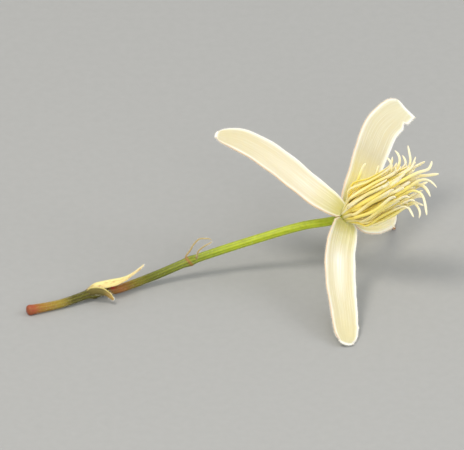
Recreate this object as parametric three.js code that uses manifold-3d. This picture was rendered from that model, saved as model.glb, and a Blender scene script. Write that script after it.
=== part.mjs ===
// A clematis flower on its stalk, as picked, lying on a flat surface. Millimetres, +Z up.
// The surface is z = 0, and the origin is on it, under the middle of the flower's outline.
//
// The pieces are described as the flower is looked at: x to the right, y up and z towards the eye,
// in millimetres from the heart, the middle of the ring that the sepals spread from.
// Then all of it is tipped back about X, so that it rests on the tips of two sepals and on the
// end of its stalk.

import * as THREE from "three";
import { mergeVertices } from "three/addons/utils/BufferGeometryUtils.js";
import Module from "manifold-3d";

const wasm = await Module();
wasm.setup();

// Driving dimensions

const tipBack = THREE.MathUtils.degToRad(56.6); // from the eye's upright to the surface's
const heart = new THREE.Vector3(14.815, -0.34, 9.12); // the heart's place in the part's frame

const flowerAxis = new THREE.Vector3(0.71, 0.33, 0.62).normalize(); // the way the receptacle looks
const brushAxis = new THREE.Vector3(0.757, 0.415, 0.5).normalize(); // the way the stamens point

const stalk = {
  radius: 0.58, foot: 0.7, bractNode: 0.82, bracteoleNode: 0.7, neck: 0.93, sides: 12, steps: 44,
};
const nodeAt = { bracts: [-33.0, -10.05, 0.3], bracteoles: [-20.4, -5.9, -3.0] };
const receptacle = { seatRadius: 1.2, seatHalf: 0.12, domeRadius: 0.8, domeHeight: 1.0, sides: 24 };
const blade = { thickness: 0.6, rows: 18, columns: 8, bractRows: 12, bractColumns: 4 };
const bracteole = { thickness: 0.42, sides: 6, steps: 14 };
const collar = { inner: 1.12, outer: 1.75, foot: 0.66, height: 0.7, sides: 36 };
const filament = {
  count: 36, length: 12.4, width: 0.44, thickness: 0.34, innermost: 1.5, outermost: 2.8, arc: 1.5,
  sides: 4, steps: 10, turn: Math.PI / 4, crowd: 1.5, seed: 41,
};
// The longer filaments, whose curled tips stand clear of the others: how far each lies towards the eye
// from the middle of the brush, and where its upper part runs as the eye sees it.
const curling = [
  [0.5, [[8.24, 1.16], [8.64, 0.64], [9.02, -0.12]]],
  [-0.6, [[8.9, 1.81], [9.69, 1.04], [9.86, 0.38], [9.74, -0.26]]],
  [1.2, [[8.9, 3.36], [10.06, 2.84], [10.44, 1.81], [10.7, 0.12]]],
  [-1.6, [[9.16, 4.15], [10.32, 3.94], [10.85, 3.36], [11.22, 2.58]]],
  [1.7, [[10.18, 4.79], [11.22, 4.52], [12.0, 3.76]]],
  [-1.9, [[9.54, 5.19], [10.85, 5.37], [12.33, 5.57]]],
  [2.0, [[9.43, 5.68], [10.85, 6.15], [11.17, 6.61], [11.34, 7.25]]],
  [-1.4, [[9.16, 6.47], [9.93, 6.87], [10.53, 7.19]]],
  [1.5, [[8.6, 6.3], [9.0, 7.1], [9.25, 7.8]]],
  [0.2, [[8.2, 6.2], [8.6, 7.25], [8.48, 8.29], [8.27, 9.31]]],
  [-1.2, [[7.9, 6.2], [7.98, 7.25], [7.6, 8.03]]],
  [-0.2, [[6.6, 5.7], [7.22, 7.3], [7.02, 8.15], [6.58, 8.67]]],
  [1.0, [[5.9, 5.6], [6.1, 6.9], [5.54, 7.77]]],
  [-0.8, [[1.13, 2.84], [2.03, 5.42], [2.44, 6.47], [2.81, 6.99]]],
  [-0.3, [[2.67, 3.5], [4.1, 5.42], [4.5, 6.73]]],
];
const carpels = { radius: 0.72, foot: 1.3, height: 1.5, sides: 14 };
const style = {
  count: 9, length: 12.7, thickness: 0.3, spread: 0.62, sides: 5, steps: 7, crowd: 1.4, seed: 17,
};
const smallestEdge = 0.02; // where fused pieces cross

// Sepals: the middle line from root to tip, the way the inner face looks at the root, the middle
// and the tip, the greatest width, and how the outline narrows.
const sepals = {
  sepal_left: {
    line: [
      [-0.95, 1.0, 0.5], [-3.8, 2.95, 0.9], [-8.6, 6.85, 1.0], [-13.3, 9.7, 0.9], [-17.0, 10.75, 0.8],
    ],
    looks: [[0.5, 0.45, 0.74], [0.4, 0.5, 0.76], [0.3, 0.5, 0.8]],
    width: 4.7, claw: 0.56, taper: 0.2, blunt: 9, tip: 1.0, cup: 0.16, wave: 0.1,
  },
  sepal_upper: {
    line: [
      [0.27, 1.14, -1.05], [1.95, 4.2, -3.55], [3.4, 8.2, -6.4], [5.2, 12.0, -9.2], [8.1, 14.2, -11.4],
    ],
    looks: [[0.66, 0.25, 0.7], [0.42, 0.35, 0.84], [0.2, 0.4, 0.9]],
    width: 4.8, claw: 0.24, taper: 0.0, blunt: 16, tip: 2.6, cup: 0.14, wave: 0.12,
  },
  sepal_lower: {
    line: [
      [-0.05, -1.3, 0.75], [-0.6, -4.6, 2.0], [-0.6, -8.9, 4.2], [-0.1, -13.2, 6.9], [0.2, -15.7, 8.3],
      [0.25, -16.8, 9.6],
    ],
    looks: [[0.62, 0.36, 0.7], [0.45, 0.42, 0.78], [0.35, 0.5, 0.8]],
    width: 4.75, claw: 0.62, taper: 0.3, blunt: 14, tip: 1.9, cup: 0.2, wave: 0.1,
  },
  sepal_under: {
    line: [
      [1.0, -0.55, -1.1], [3.0, -0.42, -5.6], [4.8, -0.1, -11.0], [5.9, 0.5, -15.4], [6.5, 1.6, -18.0],
    ],
    looks: [[0.84, 0.34, 0.42], [0.88, 0.33, 0.34], [0.8, 0.5, 0.33]],
    width: 4.5, claw: 0.28, taper: 0.2, blunt: 10, tip: 1.4, cup: 0.16, wave: 0.1,
  },
};

// Bracts: narrow blades that stand a gap clear of the stalk.
const bracts = {
  bract_upper: {
    line: [
      [-33.3, -8.75, 0.7], [-31.2, -8.3, 0.75], [-28.9, -7.8, 0.25], [-27.6, -7.25, 0.0], [-26.4, -6.4, -0.2],
    ],
    looks: [[-0.2, 0.9, 0.35], [-0.2, 0.9, 0.35], [-0.4, 0.8, 0.4]],
    width: 1.6, claw: 0.5, taper: 0.78, blunt: 8, tip: 0.4, cup: -0.4, wave: 0,
  },
  bract_lower: {
    line: [[-33.4, -10.05, 1.95], [-32.4, -9.95, 2.1], [-31.4, -10.2, 2.0], [-30.6, -10.75, 1.8]],
    looks: [[-0.1, -0.4, 0.9], [-0.1, -0.3, 0.9], [-0.2, -0.1, 0.95]],
    width: 1.5, claw: 0.5, taper: 0.6, blunt: 6, tip: 0.4, cup: -0.4, wave: 0,
  },
};

// Bracteoles: pale threads, each with its root a gap clear of the stalk.
const bracteoles = {
  bracteole_long: [
    [-20.9, -4.85, -2.6], [-20.0, -4.2, -2.4], [-18.9, -3.1, -2.1], [-17.6, -2.95, -1.8],
  ],
  bracteole_short: [
    [-19.7, -4.95, -2.2], [-19.1, -3.9, -1.2], [-18.2, -3.75, -0.9], [-17.3, -3.45, -0.8],
  ],
};

// The stalk's middle line, from its foot to the heart.
const stalkLine = [
  [-41.8, -12.4, 3.3], [-37.4, -11.5, 1.95], nodeAt.bracts, [-30.0, -9.6, -0.7], [-25.2, -7.9, -2.3],
  nodeAt.bracteoles, [-12.9, -3.4, -3.3], [-5.5, -1.25, -2.4], [-1.7, -0.6, -1.35], [0, 0, 0],
];

const colours = {
  stalk: 0x93a83a,
  bract: 0xe4d7a0,
  bracteole: 0xcbb684,
  sepal: 0xf3ebcf,
  stamen: 0xe9d571,
  pistil: 0xdfe0b0,
};

// Places

const xAxis = new THREE.Vector3(1, 0, 0);

function turned(vector) {
  return vector.clone().applyAxisAngle(xAxis, tipBack);
}

function seen([x, y, z]) {
  return turned(new THREE.Vector3(x, y, z)).add(heart);
}

// Two directions square to an axis: the first as near up as seen by the eye as it can be.
function squareTo(axis) {
  const up = new THREE.Vector3(0, 1, 0).addScaledVector(axis, -axis.y).normalize();
  return [up, new THREE.Vector3().crossVectors(axis, up)];
}

// A place beside an axis through the heart: so far along it, so far out, at an angle round it.
function beside(axis, along, out, angle) {
  const [first, second] = squareTo(axis);
  const place = axis.clone().multiplyScalar(along);
  place.addScaledVector(first, out * Math.cos(angle));
  place.addScaledVector(second, out * Math.sin(angle));
  return turned(place).add(heart);
}

// A place that the eye sees at x and y, told by how far along the brush, how far out of its middle and
// at which angle it lies, from how far it is towards the eye.
function inBrush([x, y], depth) {
  const [up, side] = squareTo(brushAxis);
  const right = x - side.x * depth;
  const high = y - side.y * depth;
  const scale = brushAxis.x * up.y - brushAxis.y * up.x;
  const along = (right * up.y - high * up.x) / scale;
  const above = (brushAxis.x * high - brushAxis.y * right) / scale;
  return { along, out: Math.hypot(above, depth), angle: Math.atan2(depth, above) };
}

function seededDraw(seed) {
  let state = seed;
  return () => {
    state = (state * 1664525 + 1013904223) % 4294967296;
    return state / 4294967296;
  };
}

// Solids

function solidOf(geometry) {
  const bare = geometry.clone();
  bare.deleteAttribute("normal");
  bare.deleteAttribute("uv");
  const merged = mergeVertices(bare, 1e-4);
  const vertProperties = new Float32Array(merged.attributes.position.array);
  const triVerts = new Uint32Array(merged.index.array);
  return new wasm.Manifold(new wasm.Mesh({ numProp: 3, vertProperties, triVerts }));
}

function geometryOf(solid) {
  const mesh = solid.getMesh();
  const geometry = new THREE.BufferGeometry();
  geometry.setAttribute("position", new THREE.BufferAttribute(mesh.vertProperties, 3));
  geometry.setIndex(new THREE.BufferAttribute(mesh.triVerts, 1));
  geometry.computeVertexNormals();
  return geometry;
}

// One body from crossing ones. A hollow that they seal between them is filled.
function fuse(geometries) {
  const whole = geometries.map(solidOf).reduce((sum, next) => sum.add(next)).simplify(smallestEdge);
  return whole.decompose().reduce((greatest, next) => (next.volume() > greatest.volume() ? next : greatest));
}

function indexed(points, faces) {
  const geometry = new THREE.BufferGeometry();
  geometry.setAttribute("position", new THREE.Float32BufferAttribute(points.flatMap((p) => p.toArray()), 3));
  geometry.setIndex(faces);
  return geometry;
}

// What lies under the surface is worn flat, so that the piece rests on a small flat spot.
function restingOnSurface(geometry) {
  const deep = 100;
  const above = new THREE.BoxGeometry(2 * deep, 2 * deep, deep).translate(0, 0, deep / 2);
  return geometryOf(solidOf(geometry).intersect(solidOf(above)));
}

// Where a curve is at t, which way its width runs there, and which way its face looks.
function frameAt(curve, t, sideways) {
  const centre = curve.getPointAt(t);
  const along = curve.getTangentAt(t);
  const across = sideways.clone().addScaledVector(along, -sideways.dot(along)).normalize();
  const out = new THREE.Vector3().crossVectors(across, along);
  return { centre, along, across, out };
}

// A closed limb with an elliptic section, swept along a curve. half(t) gives half its thickness and
// half its width there. With crowd over 1 the steps crowd towards the tip.
function limb(curve, sideways, half, { sides, steps, turn = 0, crowd = 1 }) {
  const points = [];
  const faces = [];
  for (let i = 0; i <= steps; i++) {
    const t = 1 - (1 - i / steps) ** crowd;
    const { centre, across, out } = frameAt(curve, t, sideways);
    const [thick, wide] = half(t);
    for (let k = 0; k < sides; k++) {
      const angle = (2 * Math.PI * k) / sides + turn;
      const point = centre.clone().addScaledVector(out, thick * Math.cos(angle));
      points.push(point.addScaledVector(across, -wide * Math.sin(angle)));
    }
  }
  for (let i = 0; i < steps; i++) {
    for (let k = 0; k < sides; k++) {
      const a = i * sides + k;
      const b = i * sides + ((k + 1) % sides);
      faces.push(a, b + sides, b, a, a + sides, b + sides);
    }
  }
  const root = points.push(curve.getPointAt(0)) - 1;
  const tip = points.push(curve.getPointAt(1)) - 1;
  const last = steps * sides;
  for (let k = 0; k < sides; k++) {
    const next = (k + 1) % sides;
    faces.push(root, k, next);
    faces.push(tip, last + next, last + k);
  }
  return indexed(points, faces);
}

// A blade's half-width at t: a narrow claw, a slow taper and a rounded tip.
function halfWidth(shape, t) {
  const claw = 1 - (1 - shape.claw) * Math.exp(-t / 0.09);
  const taper = 1 - shape.taper * t * t;
  const rounding = Math.sqrt(1 - Math.min(t, 1) ** shape.blunt);
  return Math.max((shape.width / 2) * claw * taper * rounding, (shape.tip / 2) * t);
}

// A closed blade: two alike grids, one on each face, and the rim between them.
function bladeGeometry(shape, rows, columns) {
  const curve = new THREE.CatmullRomCurve3(shape.line.map(seen));
  const looks = new THREE.CatmullRomCurve3(shape.looks.map((look) => turned(new THREE.Vector3(...look))));
  const face = [];
  const back = [];
  for (let i = 0; i <= rows; i++) {
    const t = Math.sin(((i / rows) * Math.PI) / 2);
    const sideways = new THREE.Vector3().crossVectors(curve.getTangentAt(t), looks.getPoint(t));
    const { centre, across, out } = frameAt(curve, t, sideways);
    const half = halfWidth(shape, t);
    for (let j = 0; j <= columns; j++) {
      const s = (2 * j) / columns - 1;
      const rise = shape.cup * half * s * s + shape.wave * Math.sin(9 * t + 2 * s) * s * s;
      const middle = centre.clone().addScaledVector(across, half * s).addScaledVector(out, rise);
      face.push(middle.clone().addScaledVector(out, blade.thickness / 2));
      back.push(middle.clone().addScaledVector(out, -blade.thickness / 2));
    }
  }
  const wide = columns + 1;
  const under = face.length;
  const faces = [];
  const quad = (a, b, c, d) => faces.push(a, b, c, a, c, d);
  for (let i = 0; i < rows; i++) {
    for (let j = 0; j < columns; j++) {
      const a = i * wide + j;
      quad(a, a + 1, a + 1 + wide, a + wide);
      const u = a + under;
      faces.push(u, u + 1 + wide, u + 1, u, u + wide, u + 1 + wide);
    }
    const left = i * wide;
    const right = left + columns;
    quad(left, left + wide, left + wide + under, left + under);
    quad(right + wide, right, right + under, right + wide + under);
  }
  const end = rows * wide;
  for (let j = 0; j < columns; j++) {
    quad(j + 1, j, j + under, j + 1 + under);
    quad(end + j, end + j + 1, end + j + 1 + under, end + j + under);
  }
  return indexed([...face, ...back], faces);
}

// Pieces

function bump(x, middle, spread) {
  return Math.exp(-(((x - middle) / spread) ** 2));
}

// The stalk: its foot, its two nodes, and the receptacle, a disc for the sepals with a dome on it.
function flowerStalk() {
  const curve = new THREE.CatmullRomCurve3(stalkLine.map(seen));
  const whole = curve.getLength();
  const atBracts = nearestLength(curve, seen(nodeAt.bracts));
  const atBracteoles = nearestLength(curve, seen(nodeAt.bracteoles));
  const half = (t) => {
    const at = t * whole;
    let radius = stalk.radius;
    radius += (stalk.foot - stalk.radius) * bump(at, 0, 2.2);
    radius += (stalk.bractNode - stalk.radius) * bump(at, atBracts, 0.9);
    radius += (stalk.bracteoleNode - stalk.radius) * bump(at, atBracteoles, 0.6);
    radius += (stalk.neck - stalk.radius) * bump(at, whole, 0.9);
    return [radius, radius];
  };
  const shaft = limb(curve, new THREE.Vector3(0, 1, 0), half, stalk);
  const { seatRadius, seatHalf, domeRadius, domeHeight, sides } = receptacle;
  const outline = [
    [0, -0.9], [0.6, -0.9], [0.95, -0.5], [seatRadius, -seatHalf], [seatRadius, seatHalf],
    [domeRadius, seatHalf + 0.15], [0.92 * domeRadius, 0.6 * domeHeight],
    [0.6 * domeRadius, 0.9 * domeHeight], [0, domeHeight],
  ];
  return restingOnSurface(geometryOf(fuse([shaft, lathed(outline, sides)])));
}

// How far along a curve the point nearest to a place is.
function nearestLength(curve, place) {
  const steps = 400;
  const distances = [];
  for (let i = 0; i <= steps; i++) {
    distances.push(curve.getPointAt(i / steps).distanceTo(place));
  }
  const nearest = distances.indexOf(Math.min(...distances));
  return (nearest / steps) * curve.getLength();
}

// A turned shape round the flower's axis, from points that give its distance out and along.
function lathed(outline, sides) {
  const profile = outline.map(([out, along]) => new THREE.Vector2(out, along));
  const geometry = new THREE.LatheGeometry(profile, sides);
  const lean = new THREE.Quaternion().setFromUnitVectors(new THREE.Vector3(0, 1, 0), turned(flowerAxis));
  return geometry.applyQuaternion(lean).translate(...heart);
}

const turnOfSpiral = Math.PI * (3 - Math.sqrt(5)); // stamens and carpels stand in a spiral

// Stamens: filaments in a spiral from the inside out, which bulge, run side by side and curl back at
// their tips, and longer ones among them. Their feet are sunk in a collar that stands a gap clear of
// the receptacle.
function stamens() {
  const { inner, outer, foot, height, sides } = collar;
  const top = foot + height;
  const ring = [
    [inner, foot], [outer, foot], [outer, top - 0.2], [outer - 0.2, top], [inner, top], [inner, foot],
  ];
  const limbs = [lathed(ring, sides)];
  const half = (t) => {
    const anther = 1 + 0.2 * bump(t, 0.86, 0.1);
    const point = 1 - 0.45 * t ** 10;
    return [(filament.thickness / Math.SQRT2) * point, (filament.width / Math.SQRT2) * anther * point];
  };
  for (const { line, angle } of [...spiralFilaments(), ...curlingFilaments()]) {
    const sideways = beside(brushAxis, 0, 1, angle + Math.PI / 2).sub(heart);
    limbs.push(limb(new THREE.CatmullRomCurve3(line), sideways, half, filament));
  }
  return geometryOf(fuse(limbs));
}

const filamentRootOut = (collar.inner + collar.outer) / 2;

function spiralFilaments() {
  const draw = seededDraw(filament.seed);
  const filaments = [];
  for (let i = 0; i < filament.count; i++) {
    const rank = (i + 0.5) / filament.count;
    const angle = i * turnOfSpiral + 0.25 * (draw() - 0.5);
    const { innermost, outermost } = filament;
    const even = Math.sqrt(innermost ** 2 + rank * (outermost ** 2 - innermost ** 2));
    const body = even + 0.3 * (draw() - 0.5);
    const long = filament.length * (0.94 + 0.12 * draw() - 0.16 * rank);
    const bend = 0.3 + 0.7 * rank + 0.4 * draw();
    const arc = filament.arc * (0.85 + 0.3 * draw());
    const twist = 0.3 * (draw() - 0.5);
    const bendsAt = long - arc * Math.sin(Math.min(bend, Math.PI / 2));
    const line = [
      beside(flowerAxis, collar.foot + 0.3, filamentRootOut, angle),
      beside(brushAxis, collar.foot + 1.5, filamentRootOut + 0.55 * (body - filamentRootOut), angle),
      beside(brushAxis, 0.33 * bendsAt, body + 0.3 * rank, angle + 0.3 * twist),
      beside(brushAxis, 0.66 * bendsAt, body + 0.15, angle + 0.6 * twist),
    ];
    for (const share of [0, 0.33, 0.66, 1]) {
      const along = bendsAt + arc * Math.sin(share * bend);
      const out = body + 0.15 + arc * (1 - Math.cos(share * bend));
      line.push(beside(brushAxis, along, out, angle + twist));
    }
    filaments.push({ line, angle });
  }
  return filaments;
}

function curlingFilaments() {
  return curling.map(([depth, upper]) => {
    const places = upper.map((place) => inBrush(place, depth));
    const { along, out, angle } = places[0];
    const line = [
      beside(flowerAxis, collar.foot + 0.3, filamentRootOut, angle),
      beside(brushAxis, collar.foot + 1.3, filamentRootOut + 0.4 * (out - filamentRootOut), angle),
    ];
    if (along > 6) {
      line.push(beside(brushAxis, 0.38 * along, 0.92 * out, angle));
      line.push(beside(brushAxis, 0.7 * along, out, angle));
    }
    for (const at of places) line.push(beside(brushAxis, at.along, at.out, at.angle));
    return { line, angle };
  });
}

// Pistils: a small head of carpels on the dome, and their styles, which run up inside the stamens.
function pistils() {
  const draw = seededDraw(style.seed);
  const { radius, foot, height, sides } = carpels;
  const head = [
    [0, foot], [0.7 * radius, foot], [radius, foot + 0.4], [0.85 * radius, foot + 0.9],
    [0.4 * radius, foot + height], [0, foot + height],
  ];
  const limbs = [lathed(head, sides)];
  for (let i = 0; i < style.count; i++) {
    const rank = (i + 0.5) / style.count;
    const angle = i * turnOfSpiral;
    const out = style.spread * Math.sqrt(rank);
    const long = style.length * (0.97 + 0.06 * draw());
    const open = 0.1 + 0.4 * rank;
    const line = [
      beside(flowerAxis, foot + 0.6, 0.6 * out, angle),
      beside(brushAxis, foot + 2.4, out, angle),
      beside(brushAxis, 0.5 * long, out, angle),
      beside(brushAxis, 0.9 * long, out, angle),
      beside(brushAxis, long, out + open, angle),
    ];
    const sideways = beside(brushAxis, 0, 1, angle + Math.PI / 2).sub(heart);
    const half = () => [style.thickness / 2, style.thickness / 2];
    limbs.push(limb(new THREE.CatmullRomCurve3(line), sideways, half, style));
  }
  return geometryOf(fuse(limbs));
}

function bracteoleGeometry(line) {
  const curve = new THREE.CatmullRomCurve3(line.map(seen));
  const half = (t) => {
    const thin = (bracteole.thickness / 2) * (1 - 0.35 * t);
    return [thin, thin];
  };
  return limb(curve, turned(new THREE.Vector3(0.4, -0.4, 0.8)), half, bracteole);
}

// The flower

const flower = new THREE.Group();

function place(name, geometry, colour, roughness) {
  const material = new THREE.MeshStandardMaterial({ color: colour, roughness, metalness: 0 });
  const mesh = new THREE.Mesh(geometry, material);
  mesh.name = name;
  flower.add(mesh);
}

place("flower_stalk", flowerStalk(), colours.stalk, 0.55);
for (const [name, shape] of Object.entries(sepals)) {
  const geometry = bladeGeometry(shape, blade.rows, blade.columns);
  place(name, restingOnSurface(geometry), colours.sepal, 0.7);
}
for (const [name, shape] of Object.entries(bracts)) {
  place(name, bladeGeometry(shape, blade.bractRows, blade.bractColumns), colours.bract, 0.8);
}
for (const [name, line] of Object.entries(bracteoles)) {
  place(name, bracteoleGeometry(line), colours.bracteole, 0.8);
}
place("stamens", stamens(), colours.stamen, 0.6);
place("pistils", pistils(), colours.pistil, 0.7);

export default flower;
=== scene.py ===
import math
import random

import bmesh
import bpy
from mathutils import Matrix, Vector


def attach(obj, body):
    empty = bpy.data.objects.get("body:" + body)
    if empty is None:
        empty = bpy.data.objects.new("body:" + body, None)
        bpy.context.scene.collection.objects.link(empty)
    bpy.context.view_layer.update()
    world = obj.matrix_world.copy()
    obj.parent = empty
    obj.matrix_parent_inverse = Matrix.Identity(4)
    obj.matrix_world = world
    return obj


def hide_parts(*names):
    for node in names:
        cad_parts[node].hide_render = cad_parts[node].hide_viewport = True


# A clematis flower as picked, lying on a pale table on the tips of two sepals and the foot of its stalk.
# Places are worked out in millimetres as the flower is looked at, x to the right, y up and z towards the
# eye from the heart of the flower, then tipped back about X onto the table and scaled to metres.

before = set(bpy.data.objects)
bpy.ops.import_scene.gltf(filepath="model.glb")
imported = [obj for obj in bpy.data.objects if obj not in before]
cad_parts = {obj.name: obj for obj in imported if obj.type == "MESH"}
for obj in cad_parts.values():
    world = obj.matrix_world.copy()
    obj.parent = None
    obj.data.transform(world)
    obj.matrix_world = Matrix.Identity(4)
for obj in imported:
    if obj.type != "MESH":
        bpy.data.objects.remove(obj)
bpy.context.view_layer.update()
print("frame loaded:", len(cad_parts), "nodes")

flowerPlace = {
    "tipBack": math.radians(56.6),
    "heart": Vector((14.815, -0.34, 9.12)),
    "flowerAxis": Vector((0.71, 0.33, 0.62)).normalized(),  # the way the receptacle looks
    "brushAxis": Vector((0.757, 0.415, 0.5)).normalized(),  # the way the stamens point
}
metre = 0.001
tipBack = Matrix.Rotation(flowerPlace["tipBack"], 3, "X")


def turned(way):
    # a way as the flower is looked at, turned to how it lies
    return tipBack @ Vector(way)


def seen(place):
    return turned(place) + flowerPlace["heart"]


def beside(axis, along, out, angle):
    # a place so far along an axis through the heart, so far out from it, at an angle round it
    up = (Vector((0, 1, 0)) - axis * axis.y).normalized()
    side = axis.cross(up)
    return seen(axis * along + up * (out * math.cos(angle)) + side * (out * math.sin(angle)))


def seededDraw(seed):
    # the same run of numbers from 0 to 1 as in the CAD, so that filaments grow where they do there
    state = seed
    while True:
        state = (state * 1664525 + 1013904223) % 4294967296
        yield state / 4294967296


def bump(x, middle, spread):
    # 1 at the middle, falling off smoothly on both sides
    return math.exp(-(((x - middle) / spread) ** 2))


class Line:
    # a smooth curve through points, read by its share of the length

    def __init__(self, points, stations=200):
        self.points = points
        self.lengths = [0.0]
        last = self.point(0)
        for i in range(1, stations + 1):
            here = self.point(i / stations)
            self.lengths.append(self.lengths[-1] + (here - last).length)
            last = here

    def point(self, t):
        count = len(self.points)
        place = (count - 1) * min(max(t, 0.0), 1.0)
        i = min(int(place), count - 2)
        w = place - i
        p1, p2 = self.points[i], self.points[i + 1]
        p0 = self.points[i - 1] if i > 0 else p1 * 2 - p2
        p3 = self.points[i + 2] if i + 2 < count else p2 * 2 - p1
        d0, d1, d2 = [max((b - a).length, 1e-8) ** 0.5 for a, b in ((p0, p1), (p1, p2), (p2, p3))]
        m1 = ((p1 - p0) / d0 - (p2 - p0) / (d0 + d1) + (p2 - p1) / d1) * d1
        m2 = ((p2 - p1) / d1 - (p3 - p1) / (d1 + d2) + (p3 - p2) / d2) * d1
        c2 = (p2 - p1) * 3 - m1 * 2 - m2
        c3 = (p1 - p2) * 2 + m1 + m2
        return p1 + m1 * w + c2 * w ** 2 + c3 * w ** 3

    def share(self, u):
        # the curve's own t at a share u of its length
        target = u * self.lengths[-1]
        low, high = 0, len(self.lengths) - 1
        while high - low > 1:
            middle = (low + high) // 2
            if self.lengths[middle] <= target:
                low = middle
            else:
                high = middle
        step = self.lengths[high] - self.lengths[low]
        return (low + (target - self.lengths[low]) / step) / (len(self.lengths) - 1)

    def at(self, u, sideways):
        # centre, the way along, the way across and the way the face looks
        t = self.share(u)
        centre = self.point(t)
        along = (self.point(t + 1e-4) - self.point(t - 1e-4)).normalized()
        across = (sideways - along * sideways.dot(along)).normalized()
        return centre, along, across, across.cross(along)


def makePiece(name, bm, material, smooth=True):
    # the finished mesh in metres, nothing of it under the table
    bmesh.ops.scale(bm, vec=(metre, metre, metre), verts=bm.verts)
    for v in bm.verts:
        v.co.z = max(v.co.z, 0.0)
    mesh = bpy.data.meshes.new(name)
    bm.to_mesh(mesh)
    bm.free()
    mesh.polygons.foreach_set("use_smooth", [smooth] * len(mesh.polygons))
    piece = bpy.data.objects.new(name, mesh)
    bpy.context.scene.collection.objects.link(piece)
    mesh.materials.append(material)
    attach(piece, "root")
    return piece


# Materials

def linear(hexColour):
    # sRGB hex to linear light, with full alpha
    parts = [int(hexColour[i:i + 2], 16) / 255 for i in (1, 3, 5)]
    return [c / 12.92 if c <= 0.04045 else ((c + 0.055) / 1.055) ** 2.4 for c in parts] + [1.0]


def addNode(tree, kind, inputs=None, stops=None, **settings):
    # a shader node with its values, links, ramp stops and settings; a Mix node's colours are its inputs
    # 6 and 7 and its output 2
    made = tree.nodes.new("ShaderNode" + kind)
    for key, value in settings.items():
        setattr(made, key, value)
    for key, value in (inputs or {}).items():
        if isinstance(value, bpy.types.NodeSocket):
            tree.links.new(value, made.inputs[key])
        else:
            made.inputs[key].default_value = value
    if stops:
        elements = made.color_ramp.elements
        while len(elements) < len(stops):
            elements.new(1.0)
        for element, (place, colour) in zip(elements, stops):
            element.position = place
            element.color = linear(colour)
    return made


def newMaterial(name):
    material = bpy.data.materials.new(name)
    material.use_nodes = True
    tree = material.node_tree
    tree.nodes.clear()
    surface = addNode(tree, "BsdfPrincipled")
    addNode(tree, "OutputMaterial", {"Surface": surface.outputs["BSDF"]})
    return material, tree, surface


petalLook = {
    "foot": "#D3CF86", "clawEnd": 0.07, "middleStart": 0.24,
    "veinFoot": "#B9B36A", "vein": "#D9D0AE", "veinShare": 0.8, "veinsAcross": 26.0, "veinsAlong": 2.2,
    # pale: the colour of a painted highlight down the middle of a sepal and of a painted sheen in strips
    # between its veins
    "pale": "#FFFFFA", "paintedHighlightShare": 0.3, "sheenStripShare": 0.4,
    "margin": "#FFFEF8", "marginFrom": 0.7, "marginShare": 0.9,
    "tan": "#D2A468", "tanFrom": 0.92, "tanFull": 0.97, "tanShare": 0.6,
    "speck": "#A06834", "speckLength": 0.04,
    "cellSize": 0.09,  # mm, about twice the size of real cells, so that they show
}
sepalLooks = {
    "sepal_left": {**petalLook, "claw": "#DFDBAC", "middle": "#E0D9C2", "tip": "#CCC49E", "tanSide": -1},
    # the upper sepal's middle is greyer than the others': painted shade
    "sepal_upper": {
        **petalLook, "claw": "#E8D878", "middle": "#CAC3A2", "tip": "#D6D3B6", "tanSide": -1,
        "paintedHighlightShare": 0.0, "clawEnd": 0.26, "middleStart": 0.5},
    "sepal_lower": {
        **petalLook, "claw": "#E6E2B4", "middle": "#DED8BD", "tip": "#D0C896", "tanSide": 1,
        "paintedHighlightShare": 0.9},
    # the sepal under the brush is brighter than the others: painted light where the brush shades it
    "sepal_under": {
        **petalLook, "claw": "#FBEA90", "middle": "#FFEEAC", "tip": "#F6E8BC", "tanSide": 1,
        "paintedHighlightShare": 0.0, "clawEnd": 0.3, "middleStart": 0.6, "speckAt": 0.745},
}


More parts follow.
